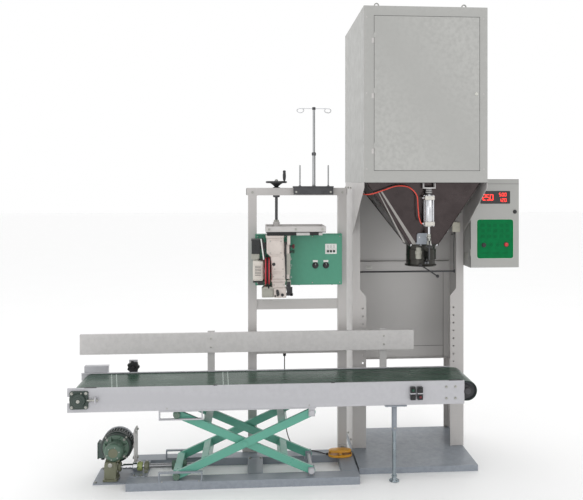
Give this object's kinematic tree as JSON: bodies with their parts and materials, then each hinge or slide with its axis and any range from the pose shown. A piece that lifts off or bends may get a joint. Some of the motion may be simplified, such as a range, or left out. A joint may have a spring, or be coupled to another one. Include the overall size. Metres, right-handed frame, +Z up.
{
  "type": "bag closer sewing machine with weighing filler",
  "caption": "Bag filling and closing line: sewing head on a screw-adjusted portal, belt conveyor on a scissor lift, weighing cabinet with hopper, spout and bag clamp.",
  "frame": {"origin": "middle of the footprint of the bounding box, on the floor", "axes": "+X along the conveyor towards the filler, +Y away from the operator, +Z up"},
  "size_m": [2.997, 0.94, 3.07],
  "materials": {
    "frame_paint": "satin powder coat, light grey",
    "beam_paint": "satin powder coat, pale grey",
    "base_paint": "satin powder coat, blue grey",
    "green_paint": "satin enamel, mint green",
    "box_green": "hammered enamel, green",
    "cream_paint": "gloss enamel, warm white",
    "motor_paint": "enamel over casting, dark green",
    "gear_paint": "enamel over casting, olive",
    "looper_paint": "enamel, grey olive",
    "bearing_iron": "painted casting",
    "steel": "turned",
    "dark_steel": "oiled, dark",
    "stainless": "brushed stainless sheet",
    "black_paint": "black paint",
    "belt_rubber": "smooth PVC, dark green",
    "black_plastic": "moulded",
    "green_plastic": "moulded",
    "red_plastic": "moulded",
    "pulley_red": "red enamel",
    "hose_red": "polyurethane tube",
    "cable_black": "cable sheath",
    "pedal_yellow": "yellow orange enamel on a casting"
  },
  "bodies": {
    "structure": {"lift_base_frame": "base_paint", "lower_pivot_axle": "dark_steel", "screw_bearing_block": "gear_paint", "worm_gearbox": "gear_paint", "lift_motor": "motor_paint", "portal_frame": "frame_paint", "thread_stand": "dark_steel", "bagger_base_plate": "base_paint", "left_side_frame": "frame_paint", "right_side_frame": "frame_paint", "rear_panel": "frame_paint", "cabinet_shell": "frame_paint", "weigh_hopper": "stainless", "bag_spout": "stainless", "clamp_cylinder": "steel", "panel_cabinet": "frame_paint", "foot_pedal_base": "pedal_yellow", "pedal_cable": "cable_black", "air_hose": "hose_red"},
    "drive_screw": {"lead_screw": "steel", "shaft_coupling": "steel"},
    "inner_arms": {"scissor_pair_b": "green_paint", "upper_roller_axle": "dark_steel"},
    "outer_arms": {"scissor_pair_a": "green_paint"},
    "nut_carriage": {"nut_crossbar": "green_paint"},
    "conveyor": {"lift_top_frame": "beam_paint", "upper_pivot_axle": "dark_steel", "conveyor_beam_front": "beam_paint", "conveyor_beam_rear": "beam_paint", "belt_bed": "base_paint", "conveyor_belt": "belt_rubber", "take_up_bearing_front": "bearing_iron", "drum_bracket_front": "black_paint", "leg_sleeve": "base_paint", "guide_rail": "frame_paint"},
    "head_drum_body": {"head_drum": "dark_steel"},
    "tail_drum_body": {"tail_drum": "dark_steel"},
    "foot_leg": {"leg_foot": "steel"},
    "start_key": {"start_button": "green_plastic"},
    "stop_key": {"stop_button": "red_plastic"},
    "clamp_knob": {"rail_clamp_knob": "black_plastic"},
    "hand_wheel": {"handwheel": "black_paint", "height_screw": "steel"},
    "carriage": {"head_carriage": "frame_paint", "control_box": "box_green", "sewing_head_casting": "cream_paint", "thread_tension_unit": "steel", "looper_cover": "looper_paint", "head_motor": "cream_paint", "capacitor_box": "black_plastic"},
    "pulley": {"head_pulley": "pulley_red"},
    "needle": {"needle_bar": "steel"},
    "foot_presser": {"presser_foot": "black_paint"},
    "selector_a": {"selector_left": "black_plastic"},
    "selector_b": {"selector_right": "black_plastic"},
    "big_door": {"cabinet_door": "frame_paint"},
    "small_door": {"panel_door": "frame_paint"},
    "ram": {"cylinder_rod": "steel"},
    "jaw": {"clamp_jaw": "stainless"},
    "treadle": {"foot_pedal_treadle": "pedal_yellow"}
  },
  "joints": [
    {"name": "lift_angle", "type": "hinge", "parent": "structure", "child": "inner_arms", "pos_m": [0.0235, -0.25, 0.08], "axis": [0, 1, 0], "range_deg": [0, 8]},
    {"name": "scissor_cross", "type": "hinge", "parent": "inner_arms", "child": "outer_arms", "pos_m": [-0.4005, -0.25, 0.269], "axis": [0, 1, 0], "range_deg": [-16.5, 0.5]},
    {"name": "nut_pivot", "type": "hinge", "parent": "outer_arms", "child": "nut_carriage", "pos_m": [-0.8245, -0.25, 0.08], "axis": [0, 1, 0], "range_deg": [-0.5, 8.5]},
    {"name": "table_pivot", "type": "hinge", "parent": "outer_arms", "child": "conveyor", "pos_m": [0.0235, -0.25, 0.458], "axis": [0, 1, 0], "range_deg": [-0.5, 8.5]},
    {"name": "screw_turn", "type": "hinge", "parent": "structure", "child": "drive_screw", "pos_m": [-0.8225, -0.25, 0.08], "axis": [1, 0, 0], "continuous": true},
    {"name": "head_drum_turn", "type": "hinge", "parent": "conveyor", "child": "head_drum_body", "pos_m": [1.0315, -0.25, 0.571], "axis": [0, 1, 0], "continuous": true},
    {"name": "tail_drum_turn", "type": "hinge", "parent": "conveyor", "child": "tail_drum_body", "pos_m": [-1.4185, -0.25, 0.571], "axis": [0, 1, 0], "continuous": true},
    {"name": "leg_drop", "type": "slide", "parent": "conveyor", "child": "foot_leg", "axis": [0, 0, -1], "range_m": [0, 0.11]},
    {"name": "start_press", "type": "slide", "parent": "conveyor", "child": "start_key", "axis": [0, 1, 0], "range_m": [0, 0.003], "stiffness_N_per_m": 800, "springref_m": -0.001},
    {"name": "stop_press", "type": "slide", "parent": "conveyor", "child": "stop_key", "axis": [0, 1, 0], "range_m": [0, 0.003], "stiffness_N_per_m": 800, "springref_m": -0.001},
    {"name": "knob_turn", "type": "hinge", "parent": "conveyor", "child": "clamp_knob", "pos_m": [-1.1565, -0.053, 0.668], "axis": [0, 1, 0], "range_deg": [-360, 360]},
    {"name": "wheel_turn", "type": "hinge", "parent": "structure", "child": "hand_wheel", "pos_m": [-0.1875, 0.052, 1.9], "axis": [0, 0, 1], "range_deg": [-3650, 3650]},
    {"name": "head_height", "type": "slide", "parent": "structure", "child": "carriage", "axis": [0, 0, 1], "range_m": [-0.05, 0.05]},
    {"name": "pulley_turn", "type": "hinge", "parent": "carriage", "child": "pulley", "pos_m": [-0.2525, -0.146, 1.322], "axis": [1, 0, 0], "continuous": true},
    {"name": "needle_stroke", "type": "slide", "parent": "carriage", "child": "needle", "axis": [0, 0, 1], "range_m": [0, 0.03]},
    {"name": "foot_lift", "type": "slide", "parent": "carriage", "child": "foot_presser", "axis": [0, 0, 1], "range_m": [0, 0.012], "stiffness_N_per_m": 900, "springref_m": -0.012},
    {"name": "selector_left_turn", "type": "hinge", "parent": "carriage", "child": "selector_a", "pos_m": [0.0775, -0.056, 1.345], "axis": [0, 1, 0], "range_deg": [-45, 45]},
    {"name": "selector_right_turn", "type": "hinge", "parent": "carriage", "child": "selector_b", "pos_m": [0.1505, -0.056, 1.345], "axis": [0, 1, 0], "range_deg": [-45, 45]},
    {"name": "cabinet_door_hinge", "type": "hinge", "parent": "structure", "child": "big_door", "pos_m": [0.4145, -0.472, 2.48], "axis": [0, 0, -1], "range_deg": [0, 110]},
    {"name": "panel_door_hinge", "type": "hinge", "parent": "structure", "child": "small_door", "pos_m": [1.1525, -0.094, 1.631], "axis": [0, 0, -1], "range_deg": [0, 88]},
    {"name": "ram_stroke", "type": "slide", "parent": "structure", "child": "ram", "axis": [0, 0, -1], "range_m": [0, 0.02]},
    {"name": "jaw_swing", "type": "hinge", "parent": "structure", "child": "jaw", "pos_m": [0.7755, -0.37, 1.395], "axis": [1, 0, 0], "range_deg": [-1, 19.5]},
    {"name": "treadle_press", "type": "hinge", "parent": "structure", "child": "treadle", "pos_m": [0.2435, -0.085, 0.0718], "axis": [0, 1, 0], "range_deg": [0, 6], "stiffness_Nm_per_rad": 6, "springref_deg": -6.88}
  ],
  "couplings": [
    {"joint": "scissor_cross", "follows": "lift_angle", "ratio": -2},
    {"joint": "nut_pivot", "follows": "lift_angle", "ratio": 1},
    {"joint": "table_pivot", "follows": "lift_angle", "ratio": 1},
    {"joint": "tail_drum_turn", "follows": "head_drum_turn", "ratio": 1},
    {"joint": "wheel_turn", "follows": "head_height", "rad_per_m": 1256.6},
    {"joint": "jaw_swing", "follows": "ram_stroke", "rad_per_m": 16.1}
  ]
}
